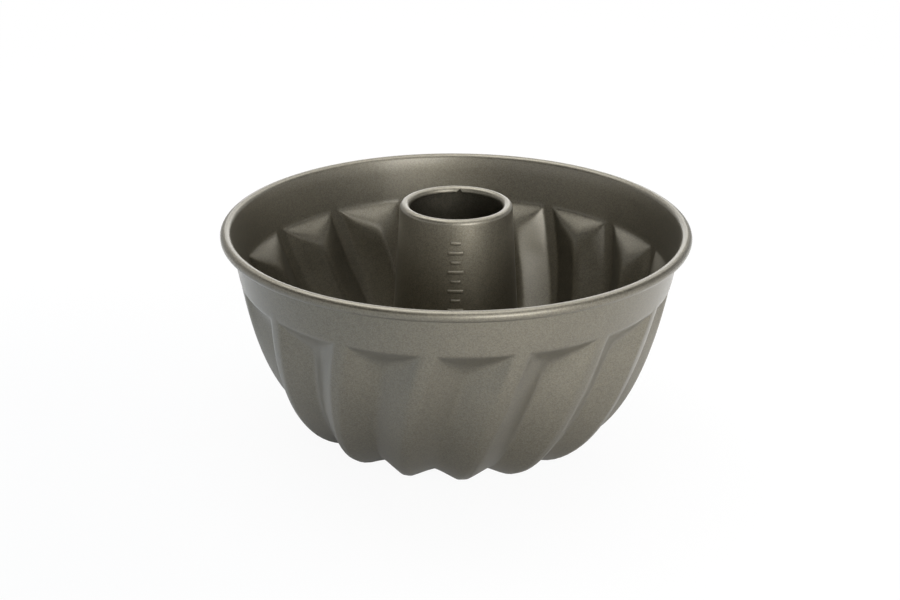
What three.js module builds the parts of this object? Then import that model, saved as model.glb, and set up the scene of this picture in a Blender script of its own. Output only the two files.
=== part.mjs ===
// A swirled gugelhupf pan of coated sheet steel, for baking ring cakes.
// Millimetres, +Z up. The origin is on the pan's axis, in the plane that the pan stands on.
// Every section is drawn as (radius, height), and angles run from the front, -Y, towards +X.
import * as THREE from "three";

// Sheet steel, and the fit between pieces that are folded or rolled round each other
const SHEET = 0.6;
const CLEARANCE = 0.3;

// Rim: the bowl's top edge, rolled outwards round a wire
const RIM_DIAMETER = 240; // over the roll
const RIM_HEIGHT = 115; // table to the top of the roll
const ROLL_DIAMETER = 5.5; // the roll's own section, over the sheet
const ROLL_GAP = 0.6; // left open between the sheet's edge and the band

// Band: the plain wall between the rim and the flutes
const BAND_HEIGHT = 23; // middle of the roll to the tops of the flutes
const BAND_LEAN = 10.1; // degrees from upright

// Flutes: grooves pressed into the wall, with crests left between them
const FLUTE_COUNT = 16;
const CREST_ANGLE = 2.4; // degrees round the pan that a crest's flat top takes
const FLOOR_ANGLE = 1.6; // the same for a groove's floor
const GROOVE_DEPTH_TOP = 8.7;
const GROOVE_DEPTH_FOOT = 4.7;
const LEDGE_HEIGHT = 11.5; // wall that a groove takes to fall in to its full depth
const SWIRL = 15.5; // degrees that a flute turns round the pan from foot to band

// Wall: a curve that keeps the band's lean at its top and lies level at the foot
const WALL_TOP_REACH = 46;
const WALL_FOOT_REACH = 34;

// Foot: the flat lands on the crests that the pan stands on
const FOOT_WIDTH = 6;

// Trough: the floor between the foot and the seam round the chimney
const TROUGH_WIDTH = 11; // middle of the collar to the foot
const TROUGH_SLOPE = 65; // degrees, where the sheet leaves the collar's bend
const TROUGH_REACH = 3.5; // how far the curve keeps its direction at either end

// Seam: the bowl's centre hole turned down as a collar, with the chimney folded round its edge
const SEAM_LIFT = 1; // table to the lowest point of the fold
const COLLAR_HEIGHT = 4;
const COLLAR_BEND = 1.9; // bend radius on the under side
const FOLD_STOP = 1.4; // fold's edge to the top of the collar

// Chimney: the tapered tube in the middle, its top edge rolled inwards
const CHIMNEY_RISE = 10.4; // top of the rim to the top of the lip
const CHIMNEY_TOP_DIAMETER = 56.5; // over the lip
const CHIMNEY_TAPER = 4; // degrees from upright
const LIP_DIAMETER = 3.8; // the lip's own section, over the sheet
const LIP_END = 200; // degrees round the section, from outside, where the sheet's edge lies

// Fineness of the meshes
const ROLL_STEPS = 8;
const WALL_STEPS = 7;
const LEDGE_STEPS = 2;
const TROUGH_STEPS = 3;
const BEND_STEPS = 3;
const LIP_STEPS = 7;
const FOLD_STEPS = 5;
const CHIMNEY_STEPS = 60;
const WIRE_SIDES = 8;

const COATING = { color: 0x7f7b70, roughness: 0.42, metalness: 0.75 };
const BRIGHT_STEEL = { color: 0xb4b6b8, roughness: 0.35, metalness: 1 };

const radians = THREE.MathUtils.degToRad;
const lerp = THREE.MathUtils.lerp;

function point(radius, height) {
  return new THREE.Vector2(radius, height);
}

// A point at a distance and an angle, in radians, from another one
function polar(middle, distance, angle) {
  return point(Math.cos(angle), Math.sin(angle)).multiplyScalar(distance).add(middle);
}

function arc(middle, radius, start, end, clockwise) {
  return new THREE.EllipseCurve(middle.x, middle.y, radius, radius, start, end, clockwise);
}

// One place on the middle of the sheet, with the normal on the left of the way along the curve.
// A groove moves the sheet along that normal, as deep as its limit allows, and turns it round the axis.
function station(curve, share, groove = { depth: 0, limit: 0, turn: 0 }) {
  const along = curve.getTangentAt(share);
  return { middle: curve.getPointAt(share), normal: point(-along.y, along.x), ...groove };
}

// Stations at equal steps, without the curve's first point, where the curve before it ended
function stationsAlong(curve, steps, grooveAt) {
  return Array.from({ length: steps }, (_, i) => {
    const share = (i + 1) / steps;
    return station(curve, share, grooveAt?.(share));
  });
}

// The closed outline of a sheet: along its right face, and back along its left face
function sheetOutline(stations) {
  const face = ({ middle, normal }, side) => middle.clone().addScaledVector(normal, (side * SHEET) / 2);
  const right = stations.map((place) => face(place, -1));
  const left = stations.map((place) => face(place, 1)).reverse();
  return [...right, ...left, right[0]];
}

// A lathe turns about Y, so its axis is stood up to lie along Z
function turned(outline, steps) {
  return new THREE.LatheGeometry(outline, steps).rotateX(Math.PI / 2);
}

function piece(name, geometry, finish) {
  const mesh = new THREE.Mesh(geometry, new THREE.MeshStandardMaterial(finish));
  mesh.name = name;
  return mesh;
}

// Places that more than one piece needs

const rollRadius = ROLL_DIAMETER / 2;
const rollMiddle = point(RIM_DIAMETER / 2 - rollRadius, RIM_HEIGHT - rollRadius);

const lipRadius = LIP_DIAMETER / 2;
const lipMiddle = point(CHIMNEY_TOP_DIAMETER / 2 - lipRadius, RIM_HEIGHT + CHIMNEY_RISE - lipRadius);
const taper = radians(CHIMNEY_TAPER);
const chimneyTop = polar(lipMiddle, lipRadius - SHEET / 2, taper);

// The fold goes round the collar's edge with the clearance on both sides of the collar's sheet
const foldRadius = SHEET + CLEARANCE;
const foldHeight = SEAM_LIFT + SHEET / 2 + foldRadius;
const collarTop = foldHeight + COLLAR_HEIGHT;
const seatRadius = chimneyTop.x + (chimneyTop.y - collarTop) * Math.tan(taper);
const collarRadius = seatRadius + foldRadius;

// Columns of points across one flute, from the middle of a crest to the next: how far round the pitch
// each one is, and its share of the groove's depth. The faces between crest and floor are straight.
const pitch = (2 * Math.PI) / FLUTE_COUNT;
const crestEdge = radians(CREST_ANGLE) / 2 / pitch;
const floorEdge = 0.5 - radians(FLOOR_ANGLE) / 2 / pitch;
const risingColumns = [
  { across: crestEdge, share: 0 },
  { across: (crestEdge + floorEdge) / 2, share: 0.5 },
  { across: floorEdge, share: 1 },
];
const fallingColumns = risingColumns.map(({ across, share }) => ({ across: 1 - across, share })).reverse();
const fluteColumns = [...risingColumns, ...fallingColumns];
const bowlSteps = FLUTE_COUNT * fluteColumns.length;

// The angle and the share of the groove's depth at one step round the bowl
function bowlColumn(step) {
  const flute = Math.floor(step / fluteColumns.length);
  const { across, share } = fluteColumns[step % fluteColumns.length];
  return { angle: (flute + across) * pitch, share };
}

// The middle of the bowl's sheet, from the collar's edge over the foot and up to the rolled rim's edge
function bowlCurves() {
  const collar = new THREE.LineCurve(point(collarRadius, foldHeight), point(collarRadius, collarTop));

  const bendRadius = COLLAR_BEND + SHEET / 2;
  const bendMiddle = point(collarRadius + bendRadius, collarTop);
  const slope = radians(TROUGH_SLOPE);
  const bend = arc(bendMiddle, bendRadius, Math.PI, Math.PI / 2 - slope, true);

  const troughTop = bend.getPoint(1);
  const footInner = point(collarRadius + TROUGH_WIDTH, SHEET / 2);
  const trough = new THREE.CubicBezierCurve(
    troughTop,
    polar(troughTop, TROUGH_REACH, -slope),
    polar(footInner, TROUGH_REACH, Math.PI),
    footInner,
  );

  const footOuter = polar(footInner, FOOT_WIDTH, 0);
  const foot = new THREE.LineCurve(footInner, footOuter);

  const upBand = Math.PI / 2 - radians(BAND_LEAN);
  const rollStart = Math.PI - radians(BAND_LEAN);
  const bandTop = polar(rollMiddle, rollRadius - SHEET / 2, rollStart);
  const bandLength = (bandTop.y - rollMiddle.y + BAND_HEIGHT) / Math.sin(upBand);
  const bandFoot = polar(bandTop, -bandLength, upBand);
  const band = new THREE.LineCurve(bandFoot, bandTop);
  const wall = new THREE.CubicBezierCurve(
    footOuter,
    polar(footOuter, WALL_FOOT_REACH, 0),
    polar(bandFoot, -WALL_TOP_REACH, upBand),
    bandFoot,
  );

  const rollEnd = -Math.acos(-(rollRadius - SHEET - ROLL_GAP) / rollRadius);
  const roll = arc(rollMiddle, rollRadius - SHEET / 2, rollStart, rollEnd, true);
  return { collar, bend, trough, foot, wall, band, roll };
}

// Stations along the whole sheet. The swirl goes on at one rate from the wall into the trough.
function bowlStations() {
  const { collar, bend, trough, foot, wall, band, roll } = bowlCurves();
  const wallLength = wall.getLength();
  const swirl = radians(SWIRL);
  const footTurn = (-swirl * FOOT_WIDTH) / wallLength;
  const troughTurn = footTurn - (swirl * trough.getLength()) / wallLength;

  const plain = (turn) => () => ({ depth: 0, limit: 0, turn });
  const inTrough = (share) => ({
    depth: GROOVE_DEPTH_FOOT * share,
    limit: GROOVE_DEPTH_FOOT,
    turn: lerp(troughTurn, footTurn, share),
  });
  const onWall = (share) => ({
    depth: lerp(GROOVE_DEPTH_FOOT, GROOVE_DEPTH_TOP, share),
    limit: ((1 - share) * wallLength * GROOVE_DEPTH_TOP) / LEDGE_HEIGHT,
    turn: swirl * share,
  });

  const ledgeStart = 1 - LEDGE_HEIGHT / wallLength;
  const wallShares = [
    ...Array.from({ length: WALL_STEPS }, (_, i) => (ledgeStart * (i + 1)) / WALL_STEPS),
    ...Array.from({ length: LEDGE_STEPS }, (_, i) => lerp(ledgeStart, 1, (i + 1) / LEDGE_STEPS)),
  ];
  return [
    station(collar, 0, plain(troughTurn)()),
    ...stationsAlong(collar, 1, plain(troughTurn)),
    ...stationsAlong(bend, BEND_STEPS, plain(troughTurn)),
    ...stationsAlong(trough, TROUGH_STEPS, inTrough),
    ...stationsAlong(foot, 1, () => onWall(0)),
    ...wallShares.map((share) => station(wall, share, onWall(share))),
    ...stationsAlong(band, 1, plain(swirl)),
    ...stationsAlong(roll, ROLL_STEPS, plain(swirl)),
  ];
}

// Splits the quads of a groove's two sides alike, from a crest's upper corner down into the groove,
// so that its ledge has a clean edge at both ends
function matchGrooveSides(geometry, rows) {
  const lastOutside = (rows - 1) / 2 - 1;
  for (let step = 0; step < bowlSteps; step++) {
    const fall = bowlColumn(step).share - bowlColumn(step + 1).share;
    for (let row = 0; row < rows - 1; row++) {
      if ((row < lastOutside ? fall : -fall) > 0) {
        const here = step * rows + row;
        const next = here + rows;
        const split = [here, next, next + 1, here, next + 1, here + 1];
        geometry.getIndex().array.set(split, (step * (rows - 1) + row) * split.length);
      }
    }
  }
}

// The bowl is spun as a plain sheet first, and then its grooves are pressed in and swirled
function flutedBowl() {
  const stations = bowlStations();
  const outline = sheetOutline(stations);
  const grooves = [...stations, ...stations.toReversed(), stations[0]];
  const geometry = turned(outline, bowlSteps);
  const position = geometry.getAttribute("position");
  for (let step = 0; step <= bowlSteps; step++) {
    const column = bowlColumn(step);
    grooves.forEach(({ normal, depth, limit, turn }, row) => {
      const pressed = outline[row].clone().addScaledVector(normal, Math.min(depth * column.share, limit));
      const x = pressed.x * Math.sin(column.angle + turn);
      const y = -pressed.x * Math.cos(column.angle + turn);
      position.setXYZ(step * outline.length + row, x, y, pressed.y);
    });
  }
  matchGrooveSides(geometry, outline.length);
  geometry.computeVertexNormals();
  return piece("fluted_bowl", geometry, COATING);
}

// The chimney's sheet, from the fold's edge round the collar and up the tube to the edge of the lip
function chimney() {
  const foldMiddle = point(collarRadius, foldHeight);
  const foldOuter = polar(foldMiddle, foldRadius, 0);
  const foldEdge = point(foldOuter.x, collarTop - FOLD_STOP);
  const foldReturn = new THREE.LineCurve(foldEdge, foldOuter);
  const fold = arc(foldMiddle, foldRadius, 0, -Math.PI, true);
  const seatTop = point(seatRadius, collarTop);
  const seat = new THREE.LineCurve(point(seatRadius, foldHeight), seatTop);
  const tube = new THREE.LineCurve(seatTop, chimneyTop);
  const lip = arc(lipMiddle, lipRadius - SHEET / 2, taper, radians(LIP_END), false);
  const stations = [
    station(foldReturn, 0),
    ...stationsAlong(foldReturn, 1),
    ...stationsAlong(fold, FOLD_STEPS),
    ...stationsAlong(seat, 1),
    ...stationsAlong(tube, 1),
    ...stationsAlong(lip, LIP_STEPS),
  ];
  return piece("chimney", turned(sheetOutline(stations), CHIMNEY_STEPS), COATING);
}

// The wire fills the rolled rim, apart from the clearance all round it
function rimWire() {
  const wireRadius = rollRadius - SHEET - CLEARANCE;
  const ring = new THREE.TorusGeometry(rollMiddle.x, wireRadius, WIRE_SIDES, bowlSteps);
  const mesh = piece("rim_wire", ring, BRIGHT_STEEL);
  mesh.position.z = rollMiddle.y;
  return mesh;
}

const pan = new THREE.Group();
pan.add(flutedBowl(), chimney(), rimWire());

export default pan;
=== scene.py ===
import math

import bmesh
import bpy
from mathutils import Matrix, Vector, noise
from mathutils.geometry import interpolate_bezier


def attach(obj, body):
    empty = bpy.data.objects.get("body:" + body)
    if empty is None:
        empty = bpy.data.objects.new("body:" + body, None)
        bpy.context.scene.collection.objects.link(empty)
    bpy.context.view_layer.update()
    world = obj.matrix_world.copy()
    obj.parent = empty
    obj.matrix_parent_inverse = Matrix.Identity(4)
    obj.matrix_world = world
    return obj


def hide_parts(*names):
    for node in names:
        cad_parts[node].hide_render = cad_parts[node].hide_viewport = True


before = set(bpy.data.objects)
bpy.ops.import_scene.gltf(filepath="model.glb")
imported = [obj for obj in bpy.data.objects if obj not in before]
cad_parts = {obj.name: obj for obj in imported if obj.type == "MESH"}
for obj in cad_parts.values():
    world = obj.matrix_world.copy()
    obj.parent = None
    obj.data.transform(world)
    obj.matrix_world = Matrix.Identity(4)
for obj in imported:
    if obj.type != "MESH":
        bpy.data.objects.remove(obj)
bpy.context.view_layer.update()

# Fluted bowl: one steel sheet, drawn deep, with sixteen swirled grooves pressed into its wall. Its top
# edge is rolled outwards round a wire, and its centre hole is turned down as a collar for the chimney.
# A satin metallic non-stick coating covers both faces.

MM = 0.001
SHEET = 0.6 * MM
RIM_RADIUS = 120 * MM  # over the roll, like its height
RIM_HEIGHT = 115 * MM
ROLL_RADIUS = 2.45 * MM  # to the middle of the sheet, as in all sections
ROLL_END = math.radians(-124)
BAND_HEIGHT = 23 * MM
BAND_LEAN = math.radians(10.1)
FLUTE_COUNT = 16
SWIRL = math.radians(15.5)
GROOVE_DEPTH_TOP = 8.7 * MM
GROOVE_DEPTH_FOOT = 5.9 * MM
LEDGE_HEIGHT = 13 * MM
WALL_TOP_REACH = 46 * MM
WALL_FOOT_REACH = 34 * MM
FOOT_INNER = 48.06 * MM
FOOT_WIDTH = 6 * MM
COLLAR_RADIUS = 37.06 * MM
COLLAR_FOOT = 2.2 * MM
COLLAR_TOP = 6.2 * MM
COLLAR_BEND = 2.2 * MM
TROUGH_SLOPE = math.radians(65)
TROUGH_REACH = 3.5 * MM

# Across a groove, in shares of the way from one crest to the next. Near the band a crest is wider, and
# its sides fall off a little more steeply before the groove's even face starts.
CREST_EDGE_TOP = 0.088
CREST_EDGE = 0.052
CREST_NARROWING = 50 * MM  # down from the band, like the next one
SHOULDER_REACH = 27 * MM
SHOULDER_WIDTH = 0.075
SHOULDER_SHARE = 0.26  # of the groove's depth
FLOOR_EDGE = 0.464
GROOVE_MIDDLE = 0.5
TOP_CREST_ROUNDING = 0.024
CREST_ROUNDING = 0.013
FLOOR_ROUNDING = 0.07  # of the groove's depth
FOOT_CREST_ROUNDING = 0.075
FOOT_FLOOR_ROUNDING = 0.6
FOOT_START = 0.55  # of the wall's length, where the foot's rounding sets in

# How softly the band turns into a ledge, and a ledge into its groove
BAND_EDGE_ROUNDING = 0.9 * MM
LEDGE_CRISPNESS = 4

# The rows of points under the band follow the slanting edge of a ledge, and crowd on both sides of it
LEDGE_FULL = LEDGE_HEIGHT + 1.2 * MM
LEDGE_REACH = 23 * MM
BAND_CROWDING = 4 * MM

# Of the columns across half a groove, the shares up to the crest's edge, the shoulder's end and the floor
COLUMNS_PER_FLUTE = 34
CREST_COLUMNS = 0.2
SHOULDER_COLUMNS = 0.55
FACE_COLUMNS = 0.8
CREST_MARGIN = 0.02
FLOOR_MARGIN = 0.03

WALL_POINTS = 300
TROUGH_POINTS = 9
MERGE_DISTANCE = 0.001 * MM


def point(radius, height):
    """A place on a section, which is drawn on the front half of the YZ plane."""
    return Vector((0, -radius, height))


def polar(middle, distance, angle):
    """The place at a distance and an angle from another one, on a section."""
    return middle + point(distance * math.cos(angle), distance * math.sin(angle))


def steps_between(start, end, steps, power=1):
    """Values from one to another, without the first; a higher power crowds them at the start."""
    return [start + (end - start) * ((i + 1) / steps) ** power for i in range(steps)]


def arc(middle, radius, start, end, steps):
    """Points along an arc, without its first one."""
    return [polar(middle, radius, angle) for angle in steps_between(start, end, steps)]


def length_along(points):
    """How long a chain of points is."""
    return sum((b - a).length for a, b in zip(points, points[1:]))


def place_along(points, distance):
    """The place at a distance along a chain of points."""
    for a, b in zip(points, points[1:]):
        span = (b - a).length
        if distance <= span:
            break
        distance -= span
    return a.lerp(b, distance / span)


def spun_section(points, values, steps):
    """A sheet spun from a section. Each vertex keeps its point's value in a layer."""
    sheet = bmesh.new()
    layer = sheet.verts.layers.float.new("value")
    verts = [sheet.verts.new(place) for place in points]
    for vert, value in zip(verts, values):
        vert[layer] = value
    edges = [sheet.edges.new(pair) for pair in zip(verts, verts[1:])]
    bmesh.ops.spin(
        sheet,
        geom=verts + edges,
        axis=(0, 0, 1),
        cent=(0, 0, 0),
        angle=2 * math.pi,
        steps=steps,
        use_merge=True,
    )
    bmesh.ops.remove_doubles(sheet, verts=sheet.verts, dist=MERGE_DISTANCE)
    bmesh.ops.recalc_face_normals(sheet, faces=sheet.faces)
    sheet.normal_update()
    return sheet, layer


def finished(name, mesh_builder, material, smooth=True):
    """An object at the origin, from a bmesh."""
    mesh = bpy.data.meshes.new(name)
    mesh_builder.to_mesh(mesh)
    mesh_builder.free()
    mesh.materials.append(material)
    mesh.polygons.foreach_set("use_smooth", [smooth] * len(mesh.polygons))
    piece = bpy.data.objects.new(name, mesh)
    bpy.context.scene.collection.objects.link(piece)
    return piece


def thicken(piece):
    """Gives a sheet its thickness, half of it on each side."""
    solidify = piece.modifiers.new("sheet", "SOLIDIFY")
    solidify.thickness = SHEET
    solidify.offset = 0
    solidify.use_even_offset = True


def bowl_section():
    """The points from the collar's edge up to the roll's edge, and how far each one is under the band.

    With them come the wall's line from the band down, and how far under the band the trough starts and ends.
    """
    collar = [point(COLLAR_RADIUS, COLLAR_FOOT), point(COLLAR_RADIUS, COLLAR_TOP)]
    bend_middle = point(COLLAR_RADIUS + COLLAR_BEND, COLLAR_TOP)
    bend = arc(bend_middle, COLLAR_BEND, math.pi, math.pi / 2 - TROUGH_SLOPE, steps=4)
    foot_inner = point(FOOT_INNER, SHEET / 2)
    foot_outer = polar(foot_inner, FOOT_WIDTH, 0)
    trough_handles = polar(bend[-1], TROUGH_REACH, -TROUGH_SLOPE), polar(foot_inner, -TROUGH_REACH, 0)
    trough = interpolate_bezier(bend[-1], *trough_handles, foot_inner, TROUGH_POINTS)[1:]
    foot = [foot_inner.lerp(foot_outer, share) for share in steps_between(0, 1, steps=2)]

    roll_middle = point(RIM_RADIUS - SHEET / 2 - ROLL_RADIUS, RIM_HEIGHT - SHEET / 2 - ROLL_RADIUS)
    roll = arc(roll_middle, ROLL_RADIUS, math.pi - BAND_LEAN, ROLL_END, steps=16)
    up_band = math.pi / 2 - BAND_LEAN
    band_top = polar(roll_middle, ROLL_RADIUS, math.pi - BAND_LEAN)
    band_length = (band_top.z - roll_middle.z + BAND_HEIGHT) / math.sin(up_band)
    band_foot = polar(band_top, -band_length, up_band)
    wall_handles = polar(foot_outer, WALL_FOOT_REACH, 0), polar(band_foot, -WALL_TOP_REACH, up_band)
    wall = interpolate_bezier(foot_outer, *wall_handles, band_foot, WALL_POINTS)
    wall_length = length_along(wall)
    side_rows = [
        *steps_between(wall_length, LEDGE_REACH, steps=22),
        *reversed(steps_between(LEDGE_FULL, LEDGE_REACH, steps=8, power=1.7)[:-1]),
        LEDGE_FULL,
        *[LEDGE_FULL * (1 + math.cos(turn)) / 2 for turn in steps_between(0, math.pi, steps=14)],
        *steps_between(0, -BAND_CROWDING, steps=5, power=1.6),
        *steps_between(-BAND_CROWDING, -band_length, steps=3),
    ]
    side = [place_along([*wall, band_top], wall_length - below) for below in side_rows]

    lower = [*collar, *bend, *trough, *foot]
    lower_rows = [wall_length + length_along(lower[i:]) for i in range(len(lower))]
    roll_rows = [side_rows[-1]] * len(roll)
    trough_start = wall_length + FOOT_WIDTH
    trough_rows = trough_start, trough_start + length_along([bend[-1], *trough])
    return [*lower, *side, *roll], [*lower_rows, *side_rows, *roll_rows], wall[::-1], trough_rows


def blend(start, end, share):
    """A value between two; a share under 0 or over 1 gives the nearer one."""
    return start + (end - start) * min(max(share, 0), 1)


def rounded(x, rounding):
    """x above zero and zero below it, with the corner between them rounded off."""
    return (x + math.hypot(x, rounding)) / 2


def under_ledge(below, reach):
    """How far down a place is on the way from the ledge's edge to a reach under the band, from 0 to 1."""
    return blend(0, 1, (below - LEDGE_FULL) / (reach - LEDGE_FULL))


def crest_edge_at(below):
    return blend(CREST_EDGE_TOP, CREST_EDGE, under_ledge(below, CREST_NARROWING))


def across_groove(column, crest_edge):
    """Where a column stands across half a groove: they crowd at the crest's edge and at the floor."""
    stops = [
        (0, 0),
        (CREST_COLUMNS, crest_edge - CREST_MARGIN),
        (SHOULDER_COLUMNS, crest_edge + SHOULDER_WIDTH + CREST_MARGIN),
        (FACE_COLUMNS, FLOOR_EDGE - FLOOR_MARGIN),
        (1, GROOVE_MIDDLE),
    ]
    for (start, low), (end, high) in zip(stops, stops[1:]):
        if column <= end:
            return blend(low, high, (column - start) / (end - start))


def groove_share(across, below, wall_length):
    """How much of its groove's depth a place has, from 0 on the crest to 1 on the floor."""
    crest_edge = crest_edge_at(below)
    shoulder_share = blend(SHOULDER_SHARE, 0, under_ledge(below, SHOULDER_REACH))
    foot = (below / wall_length - FOOT_START) / (1 - FOOT_START)
    top_rounding = blend(TOP_CREST_ROUNDING, CREST_ROUNDING, under_ledge(below, CREST_NARROWING))
    rounding = blend(top_rounding, FOOT_CREST_ROUNDING, foot)

    def fall(place):
        off_crest = rounded(place - crest_edge, rounding)
        shoulder = 1 - math.exp(-off_crest / SHOULDER_WIDTH)
        return blend(off_crest / (FLOOR_EDGE - crest_edge), shoulder, shoulder_share)

    share = fall(across) - fall(0)
    return share - rounded(share - 1, blend(FLOOR_ROUNDING, FOOT_FLOOR_ROUNDING, foot))


def softly_limited(depth, limit):
    """The smaller of two depths, with a rounded turn from one to the other."""
    if depth <= 0:
        return 0
    return (depth**-LEDGE_CRISPNESS + limit**-LEDGE_CRISPNESS) ** (-1 / LEDGE_CRISPNESS)


def along_ledge(below, share):
    """Slides a row of points, so that it runs along the edge of a ledge right across its groove."""
    edge = LEDGE_FULL - LEDGE_HEIGHT * (1 - share)
    if below < LEDGE_FULL:
        return below * edge / LEDGE_FULL
    return edge + (below - LEDGE_FULL) * (LEDGE_REACH - edge) / (LEDGE_REACH - LEDGE_FULL)


def fluted_bowl_mesh():
    """The turned sheet, with its grooves pressed in along its normals and swirled up to the band."""
    points, rows, down_wall, (trough_start, trough_end) = bowl_section()
    bowl, under_band = spun_section(points, rows, FLUTE_COUNT * COLUMNS_PER_FLUTE)
    pitch = 2 * math.pi / FLUTE_COUNT
    wall_length = length_along(down_wall)
    for vert in bowl.verts:
        turn = math.atan2(vert.co.x, -vert.co.y)
        flute = turn / pitch - round(turn / pitch)
        below = vert[under_band]
        across = across_groove(min(2 * abs(flute), 1), crest_edge_at(below))
        share = groove_share(across, below, wall_length)
        slid = along_ledge(below, share) if 0 < below < LEDGE_REACH else below
        if slid != below:
            vert.co = place_along(down_wall, slid)
            vert.co.rotate(Matrix.Rotation(turn, 3, "Z"))

        depth = blend(GROOVE_DEPTH_TOP, GROOVE_DEPTH_FOOT, slid / wall_length)
        depth *= blend(1, 0, (slid - trough_start) / (trough_end - trough_start))
        limit = rounded(slid, BAND_EDGE_ROUNDING) * GROOVE_DEPTH_TOP / LEDGE_HEIGHT
        vert.co += vert.normal * softly_limited(depth * share, limit)
        column_shift = (math.copysign(across, flute) - flute) * pitch
        swirl = SWIRL * (1 - max(slid, 0) / wall_length)
        vert.co.rotate(Matrix.Rotation(column_shift + swirl, 3, "Z"))
    return bowl


class Shade:
    """An output in a shader's node tree. Arithmetic on it adds Math nodes to that tree."""

    def __init__(self, tree, output=None):
        self.tree = tree
        self.output = output

    def node(self, kind, settings=None, inputs=None, output=0):
        """Adds a node, sets its settings and then its inputs, and gives one of its outputs."""
        node = self.tree.nodes.new(kind)
        for name, value in (settings or {}).items():
            setattr(node, name, value)
        for name, value in (inputs or {}).items():
            if isinstance(value, Shade):
                self.tree.links.new(value.output, node.inputs[name])
            else:
                node.inputs[name].default_value = value
        return Shade(self.tree, node.outputs[output])

    def math(self, operation, first, second):
        return self.node("ShaderNodeMath", {"operation": operation}, {0: first, 1: second})

    def __add__(self, other):
        return self.math("ADD", self, other)

    def __radd__(self, other):
        return self.math("ADD", other, self)

    def __sub__(self, other):
        return self.math("SUBTRACT", self, other)

    def __rsub__(self, other):
        return self.math("SUBTRACT", other, self)

    def __mul__(self, other):
        return self.math("MULTIPLY", self, other)

    def __rmul__(self, other):
        return self.math("MULTIPLY", other, self)


def new_material(name):
    """A material with a bare Principled shader, and the start for its other nodes."""
    material = bpy.data.materials.new(name)
    material.use_nodes = True
    shader = material.node_tree.nodes["Principled BSDF"]
    return material, shader, Shade(material.node_tree)


def feed(node, socket, shade):
    shade.tree.links.new(shade.output, node.inputs[socket])


def mixed_colours(start, share, first, second, blend_type="MIX"):
    """Two colours mixed or multiplied. 0, 6 and 7 are the Mix node's factor and its two colours."""
    settings = {"data_type": "RGBA", "blend_type": blend_type}
    return start.node("ShaderNodeMix", settings, {0: share, 6: first, 7: second}, output=2)


def fine_relief(shader, height, strength, depth):
    """Gives a surface a fine relief, by a pattern of heights."""
    inputs = {"Strength": strength, "Distance": depth, "Height": height}
    feed(shader, "Normal", height.node("ShaderNodeBump", inputs=inputs, output="Normal"))


COATING_GREY = (0.19, 0.178, 0.143, 1)
COATING_BRONZE = (0.208, 0.184, 0.135, 1)
MOST_BRONZE = 0.6
FLAKES_PER_METRE = 2100
CLOUDS_PER_METRE = 30
DARKEST_FLAKE = 0.76
FLAKE_CONTRAST = 0.38
CLOUD_CONTRAST = 0.1
COATING_ROUGHNESS = 0.4
FLAKE_ROUGHNESS = 0.12
FILM_WEIGHT = 0.6
FILM_ROUGHNESS = 0.24
GRAIN_STRENGTH = 0.12
GRAIN_DEPTH = 0.05 * MM


def coating_material(name, lightness):
    """Metal flakes in a satin non-stick film: a fine speckle with a touch of bronze, over faint clouds."""
    material, shader, start = new_material(name)
    place = start.node("ShaderNodeTexCoord", output="Object")
    scattered = {"Vector": place, "Scale": FLAKES_PER_METRE}
    flakes = start.node("ShaderNodeTexVoronoi", inputs=scattered, output="Color")
    flake = start.node("ShaderNodeSeparateColor", inputs={"Color": flakes}, output="Red")
    tint = start.node("ShaderNodeSeparateColor", inputs={"Color": flakes}, output="Green")
    drifting = {"Vector": place, "Scale": CLOUDS_PER_METRE, "Detail": 3}
    clouds = start.node("ShaderNodeTexNoise", inputs=drifting)
    colour = mixed_colours(start, tint * MOST_BRONZE, COATING_GREY, COATING_BRONZE)
    level = lightness * (DARKEST_FLAKE + flake * FLAKE_CONTRAST + clouds * CLOUD_CONTRAST)
    grey_level = start.node("ShaderNodeCombineColor", inputs={"Red": level, "Green": level, "Blue": level})
    feed(shader, "Base Color", mixed_colours(start, 1, colour, grey_level, "MULTIPLY"))
    feed(shader, "Roughness", COATING_ROUGHNESS + flake * FLAKE_ROUGHNESS)
    shader.inputs["Metallic"].default_value = 1
    shader.inputs["Coat Weight"].default_value = FILM_WEIGHT
    shader.inputs["Coat Roughness"].default_value = FILM_ROUGHNESS
    fine_relief(shader, flake, GRAIN_STRENGTH, GRAIN_DEPTH)
    return material


bowl = finished("fluted_bowl_sheet", fluted_bowl_mesh(), coating_material("bowl_coating", 1))
thicken(bowl)
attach(bowl, "root")
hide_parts("fluted_bowl")

# Rim wire: a ring of drawn steel wire that the bowl's edge is rolled round. Only a sliver of it can be
# seen, from below, in the gap that the roll leaves open; the solid's own shape stays.

WIRE_STEEL = (0.46, 0.47, 0.48, 1)
DIE_MARKS_PER_METRE = 900
WIRE_ROUGHNESS = 0.22
DIE_MARK_ROUGHNESS = 0.2
DIE_MARK_STRENGTH = 0.1
DIE_MARK_DEPTH = 0.05 * MM


def wire_material():
    """Bright steel, with the fine marks that the drawing die leaves in its shine and its surface."""
    material, shader, start = new_material("drawn_wire")
    place = start.node("ShaderNodeTexCoord", output="Object")
    fine = {"Vector": place, "Scale": DIE_MARKS_PER_METRE, "Detail": 4}
    die_marks = start.node("ShaderNodeTexNoise", inputs=fine)
    shader.inputs["Base Color"].default_value = WIRE_STEEL
    shader.inputs["Metallic"].default_value = 1
    feed(shader, "Roughness", WIRE_ROUGHNESS + die_marks * DIE_MARK_ROUGHNESS)
    fine_relief(shader, die_marks, DIE_MARK_STRENGTH, DIE_MARK_DEPTH)
    return material


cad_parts["rim_wire"].data.materials.clear()
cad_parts["rim_wire"].data.materials.append(wire_material())

# Chimney: a drawn, tapered steel tube with the bowl's coating, painted a little lighter to stand in for
# light that falls on it. Its foot is folded round the edge of the bowl's collar, and its top edge is curled
# inwards, where the cut edge of the sheet is left a bit ragged.

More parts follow.
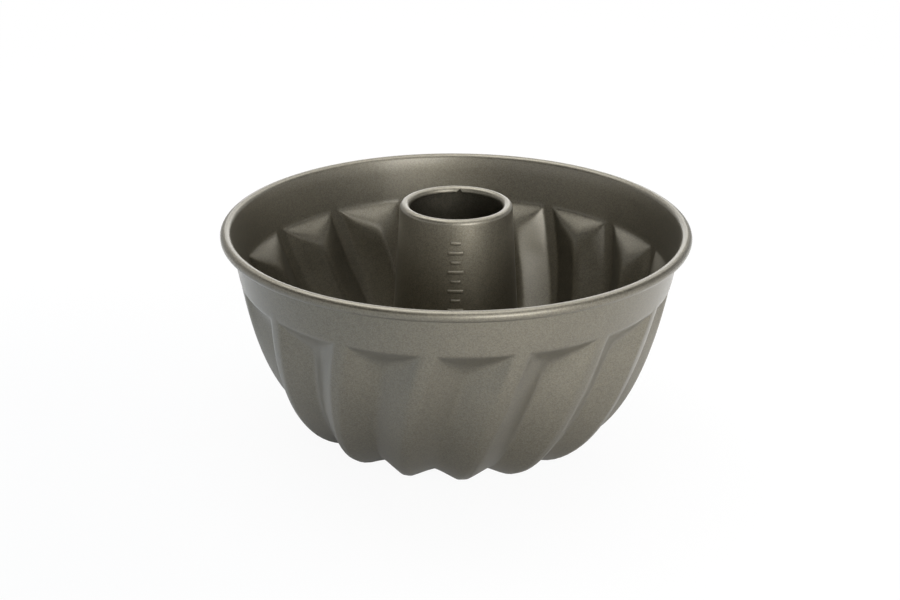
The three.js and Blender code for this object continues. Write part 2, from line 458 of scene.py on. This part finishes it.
CHIMNEY_HEIGHT = 125.4 * MM  # over the lip, like its top radius
CHIMNEY_TOP_RADIUS = 28.8 * MM
CHIMNEY_TAPER = math.radians(3.75)
LIP_RADIUS = 2.15 * MM
LIP_INSET = SHEET / 2 + LIP_RADIUS
LIP_MIDDLE = point(CHIMNEY_TOP_RADIUS - LIP_INSET, CHIMNEY_HEIGHT - LIP_INSET)
LIP_END = math.radians(200)
LIP_RAGGEDNESS = math.radians(14)
LIP_WAVES = 3  # cells of noise to a radius
LIP_NOTCH = math.radians(60)
NOTCH_TURN = math.radians(175)
NOTCH_WIDTH = math.radians(3)
FOLD_RADIUS = 0.9 * MM
FOLD_EDGE = 4.8 * MM
LIP_STEPS = 24
CHIMNEY_COLUMNS = 240
# Painted light: the chimney's coating is made lighter than the bowl's, standing in for light on it
CHIMNEY_PAINTED_LIGHT = 1.12  # next to the bowl's coating


def chimney_section():
    """The points from the fold's edge to the lip's edge, and how far round the lip each one is."""
    fold_middle = point(COLLAR_RADIUS, COLLAR_FOOT)
    fold_outer = polar(fold_middle, FOLD_RADIUS, 0)
    fold = arc(fold_middle, FOLD_RADIUS, 0, -math.pi, steps=10)
    seat_top = point(COLLAR_RADIUS - FOLD_RADIUS, COLLAR_TOP)
    tube_top = polar(LIP_MIDDLE, LIP_RADIUS, CHIMNEY_TAPER)
    tube = [seat_top.lerp(tube_top, share) for share in steps_between(0, 1, steps=16)]
    lip = arc(LIP_MIDDLE, LIP_RADIUS, CHIMNEY_TAPER, LIP_END, LIP_STEPS)
    below_lip = [point(-fold_outer.y, FOLD_EDGE), fold_outer, *fold, seat_top, *tube]
    return [*below_lip, *lip], [*[0] * len(below_lip), *steps_between(0, 1, LIP_STEPS)]


def lip_end(turn):
    """How far the lip is curled at a turn: its cut edge is uneven, with one small notch."""
    waviness = noise.noise(Vector((math.sin(turn), math.cos(turn), 0)) * LIP_WAVES)
    off_notch = (turn - NOTCH_TURN) / NOTCH_WIDTH
    return LIP_END + LIP_RAGGEDNESS * waviness - LIP_NOTCH * math.exp(-off_notch * off_notch)


def chimney_mesh():
    """The turned tube, with its lip curled as far as its uneven edge goes."""
    points, shares = chimney_section()
    tube, lip_share = spun_section(points, shares, CHIMNEY_COLUMNS)
    for vert in tube.verts:
        if vert[lip_share] > 0:
            turn = math.atan2(vert.co.x, -vert.co.y)
            curl = CHIMNEY_TAPER + vert[lip_share] * (lip_end(turn) - CHIMNEY_TAPER)
            vert.co = polar(LIP_MIDDLE, LIP_RADIUS, curl)
            vert.co.rotate(Matrix.Rotation(turn, 3, "Z"))
    return tube


# The bowl's coating, painted lighter to stand in for light that falls on the chimney
chimney_lit_coating = coating_material("chimney_lit_coating", CHIMNEY_PAINTED_LIGHT)
chimney = finished("chimney_tube", chimney_mesh(), chimney_lit_coating)
thicken(chimney)
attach(chimney, "root")
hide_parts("chimney")

# Fill marks: a plain scale of short raised bars up the chimney's front, pressed out of its sheet. They
# have its coating, and show how far the pan is filled.

MARK_COUNT = 8
LOWEST_MARK = 79 * MM
MARK_SPACING = 5 * MM
LONG_MARK = 8 * MM
SHORT_MARK = 5 * MM
MARK_THICKNESS = 1.8 * MM
MARK_RISE = 0.9 * MM
MARK_ROUNDING = 0.36 * MM
MARK_TURN = math.radians(-1)
MARK_CUTS = 7


def fill_marks_mesh():
    """Straight bars, long and short by turns, cut across their length and bent round the chimney."""
    marks = bmesh.new()
    for i in range(MARK_COUNT):
        width = SHORT_MARK if i % 2 else LONG_MARK
        size = Matrix.Diagonal((width, MARK_RISE + SHEET / 2, MARK_THICKNESS, 1))
        height = LOWEST_MARK + i * MARK_SPACING
        middle = Matrix.Translation((0, (SHEET / 2 - MARK_RISE) / 2, height))
        bar = bmesh.ops.create_cube(marks, size=1, matrix=middle @ size)
        edges = list({edge for vert in bar["verts"] for edge in vert.link_edges})
        bmesh.ops.bevel(
            marks,
            geom=edges,
            offset=MARK_ROUNDING,
            segments=3,
            profile=0.5,
            affect="EDGES",
            material=-1,
        )

    def sideways(edge):
        return abs(edge.verts[0].co.x - edge.verts[1].co.x)

    long_edges = [edge for edge in marks.edges if sideways(edge) > SHORT_MARK / 2]
    bmesh.ops.subdivide_edges(marks, edges=long_edges, cuts=MARK_CUTS, use_grid_fill=True)
    top = polar(LIP_MIDDLE, LIP_RADIUS, CHIMNEY_TAPER)
    for vert in marks.verts:
        outside = -top.y + SHEET / 2 + (top.z - vert.co.z) * math.tan(CHIMNEY_TAPER)
        turn = MARK_TURN + vert.co.x / outside
        vert.co = Matrix.Rotation(turn, 3, "Z") @ point(outside - vert.co.y, vert.co.z)
    bmesh.ops.recalc_face_normals(marks, faces=marks.faces)
    return marks


fill_marks = finished("chimney_fill_marks", fill_marks_mesh(), chimney_lit_coating)
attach(fill_marks, "root")

# Studio: a matt white floor, with a cool painted shadow on it in front on the left, between low white
# walls and under soft boxes. The camera sees the floor brighter than it is lit, up to white, and still sees
# the pan's soft shadow on it. The metal sees a touch of that glow too.

WHITE = (1, 1, 1, 1)
FLOOR_REACH = 6  # from the middle to each side
FLOOR_DROP = 0.25 * MM  # under the pan's feet
FLOOR_WHITE = (0.92, 0.92, 0.92, 1)
# Painted shadow: the floor turns grey and cool in front on the left, where less light reaches it
FLOOR_PAINTED_SHADOW = (0.54, 0.575, 0.62, 1)
FLOOR_GLOW_SEEN = 0.94
FLOOR_GLOW_MIRRORED = 0.04
WALL_LEVEL = 0.92
WALL_FRONT = 0.4  # brighter by this in front, and darker by it behind

# Each pair is where something is full and where it has gone: the painted shadow along X and along Y, the
# pan's shadow by its distance from the middle, and the walls by the upward part of a direction
SHADE_SIDEWAYS = -0.22, 0.1
SHADE_BACKWARD = 0, 0.3
SHADOW_SEEN = 0.35, 1.2
WALL_FADE = 0.2, 0.45


def any_ray(start, *names):
    """1 for rays of any of the named kinds, and 0 for all others."""
    kinds = [start.node("ShaderNodeLightPath", output=name) for name in names]
    ray = kinds[0]
    for kind in kinds[1:]:
        ray = start.math("MAXIMUM", ray, kind)
    return ray


def fading(value, full, gone):
    """1 as far as the first limit, 0 past the second one, and a smooth change in between."""
    limits = {"Value": value, "From Min": full, "From Max": gone, "To Min": 1, "To Max": 0}
    return value.node("ShaderNodeMapRange", {"interpolation_type": "SMOOTHSTEP"}, limits)


def floor_material():
    """Matt white with a painted shadow in grey, mixed with the white glow that the camera and the metal see.
    """
    material, shader, start = new_material("studio_floor")
    start.tree.nodes.remove(shader)
    place = start.node("ShaderNodeTexCoord", output="Object")
    sideways = start.node("ShaderNodeSeparateXYZ", inputs={0: place}, output="X")
    backward = start.node("ShaderNodeSeparateXYZ", inputs={0: place}, output="Y")
    # A painted shadow: the floor is grey in front on the left, where less light reaches it
    shaded = fading(sideways, *SHADE_SIDEWAYS) * fading(backward, *SHADE_BACKWARD)
    white = start.node("ShaderNodeBsdfDiffuse", inputs={"Color": FLOOR_WHITE})
    painted_shadow = start.node("ShaderNodeBsdfDiffuse", inputs={"Color": FLOOR_PAINTED_SHADOW})
    matt = start.node("ShaderNodeMixShader", inputs={0: shaded, 1: white, 2: painted_shadow})

    distance = start.node("ShaderNodeVectorMath", {"operation": "LENGTH"}, {0: place}, output="Value")
    glow_seen = 1 - (1 - FLOOR_GLOW_SEEN) * fading(distance, *SHADOW_SEEN)
    seen = any_ray(start, "Is Camera Ray")
    mirrored = any_ray(start, "Is Glossy Ray", "Is Transmission Ray")
    share = seen * glow_seen + mirrored * FLOOR_GLOW_MIRRORED
    glow = start.node("ShaderNodeEmission", inputs={"Color": WHITE, "Strength": 1})
    surface = start.node("ShaderNodeMixShader", inputs={0: share, 1: matt, 2: glow})
    feed(start.tree.nodes["Material Output"], "Surface", surface)
    return material


def floor_mesh():
    floor = bmesh.new()
    lowered = Matrix.Translation((0, 0, -FLOOR_DROP))
    bmesh.ops.create_grid(floor, x_segments=1, y_segments=1, size=FLOOR_REACH, matrix=lowered)
    return floor


finished("studio_floor", floor_mesh(), floor_material(), smooth=False)


def surround_world():
    """White to the camera. The metal and the floor see low white walls, brighter in front."""
    world = bpy.data.worlds.new("white_surround")
    world.use_nodes = True
    background = world.node_tree.nodes["Background"]
    start = Shade(world.node_tree)
    direction = start.node("ShaderNodeTexCoord", output="Generated")
    upward = start.node("ShaderNodeSeparateXYZ", inputs={0: direction}, output="Z")
    backward = start.node("ShaderNodeSeparateXYZ", inputs={0: direction}, output="Y")
    walls = fading(upward, *WALL_FADE) * (WALL_LEVEL - backward * WALL_FRONT)
    seen = any_ray(start, "Is Camera Ray")
    background.inputs["Color"].default_value = WHITE
    feed(background, "Strength", walls * (1 - seen) + seen)
    return world


bpy.context.scene.world = surround_world()

PAN_MIDDLE = Vector((0, 0, 0.06))
BOX_DISTANCE = 1.6


def soft_box(name, azimuth, elevation, width, height, power):
    """A soft light that faces the pan, in degrees, metres and watts. Azimuth 90 is on the right."""
    light = bpy.data.lights.new(name, "AREA")
    light.shape = "RECTANGLE"
    light.size = width
    light.size_y = height
    light.energy = power
    box = bpy.data.objects.new(name, light)
    away = polar(Vector(), BOX_DISTANCE, math.radians(elevation))
    away.rotate(Matrix.Rotation(math.radians(azimuth), 3, "Z"))
    box.location = PAN_MIDDLE + away
    box.rotation_euler = (-away).to_track_quat("-Z", "Y").to_euler()
    box.visible_camera = False
    bpy.context.scene.collection.objects.link(box)


soft_box("front_box", azimuth=24, elevation=14, width=0.9, height=0.7, power=10)
soft_box("front_top_box", azimuth=27, elevation=36, width=1.5, height=0.8, power=6.4)
soft_box("top_box", azimuth=0, elevation=90, width=1.1, height=1.1, power=11)
soft_box("right_top_box", azimuth=110, elevation=62, width=1.1, height=0.8, power=4.2)
soft_box("right_back_box", azimuth=150, elevation=42, width=1.1, height=0.8, power=5.7)
soft_box("back_box", azimuth=180, elevation=17, width=1, height=0.8, power=4.4)
soft_box("left_back_box", azimuth=225, elevation=42, width=1.1, height=0.8, power=2.8)
soft_box("left_top_box", azimuth=220, elevation=62, width=1.1, height=0.8, power=9)

# Camera: in front of the pan and above its rim, where the ellipses of the rim and of the chimney's lip
# look as they do in the photograph.

CAMERA_LENS = 62.31  # in millimetres, like the sensor
SENSOR_WIDTH = 36
CAMERA_DISTANCE = 0.8  # to the middle of the rim
CAMERA_AZIMUTH = math.radians(-0.75)
CAMERA_ELEVATION = math.radians(19.911)
LOOK_DOWN = math.radians(22.608)
LOOK_LEFT = math.radians(0.222)
CAMERA_ROLL = math.radians(0.32)

rim_middle = Vector((0, 0, RIM_HEIGHT - SHEET / 2 - ROLL_RADIUS))
stand = rim_middle + polar(Vector(), CAMERA_DISTANCE, CAMERA_ELEVATION)
camera_data = bpy.data.cameras.new("camera")
camera_data.lens = CAMERA_LENS
camera_data.sensor_width = SENSOR_WIDTH
camera = bpy.data.objects.new("camera", camera_data)
camera.matrix_world = (
    Matrix.Rotation(CAMERA_AZIMUTH, 4, "Z")
    @ Matrix.Translation(stand)
    @ Matrix.Rotation(LOOK_LEFT, 4, "Z")
    @ Matrix.Rotation(math.pi / 2 - LOOK_DOWN, 4, "X")
    @ Matrix.Rotation(CAMERA_ROLL, 4, "Z")
)
bpy.context.scene.collection.objects.link(camera)
bpy.context.scene.camera = camera
bpy.context.scene.view_settings.view_transform = "Standard"
